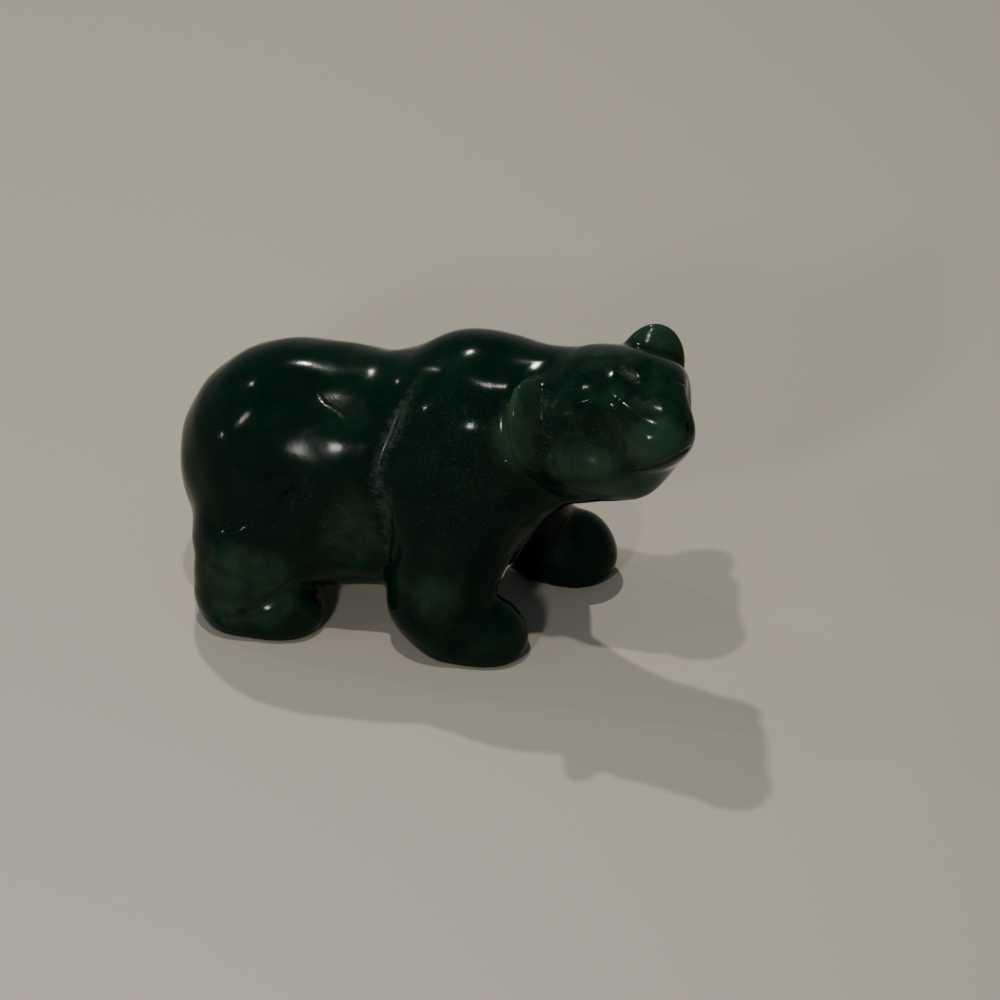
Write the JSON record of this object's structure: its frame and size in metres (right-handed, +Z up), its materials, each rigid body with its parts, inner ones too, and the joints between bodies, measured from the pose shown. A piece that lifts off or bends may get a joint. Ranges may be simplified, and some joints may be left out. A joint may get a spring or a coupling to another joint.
{
  "type": "carved bear figurine",
  "caption": "Small solid bear carved in polished dark green jade, standing on its paws with its head turned to its right.",
  "frame": {"origin": "on the ground under the middle of the figurine's box", "axes": "+X the way the body faces, +Y the bear's left, +Z up"},
  "size_m": [0.054, 0.0248, 0.0333],
  "materials": {
    "jade": "polished nephrite, very dark blue green, with fine pale specks and frosted cut lines",
    "jade_thin": "polished nephrite where the stone is thin and light comes through, lighter and greener"
  },
  "bodies": {
    "root": {"rump": "jade", "barrel": "jade", "shoulders": "jade", "neck": "jade", "tail": "jade_thin", "head": "jade", "muzzle": "jade_thin", "lower_jaw": "jade_thin", "ear_right": "jade_thin", "ear_left": "jade_thin", "fore_leg_right": "jade_thin", "fore_leg_left": "jade_thin", "hind_leg_right": "jade_thin", "hind_leg_left": "jade_thin", "fore_paw_right": "jade", "fore_paw_left": "jade", "hind_paw_right": "jade", "hind_paw_left": "jade"}
  },
  "joints": []
}
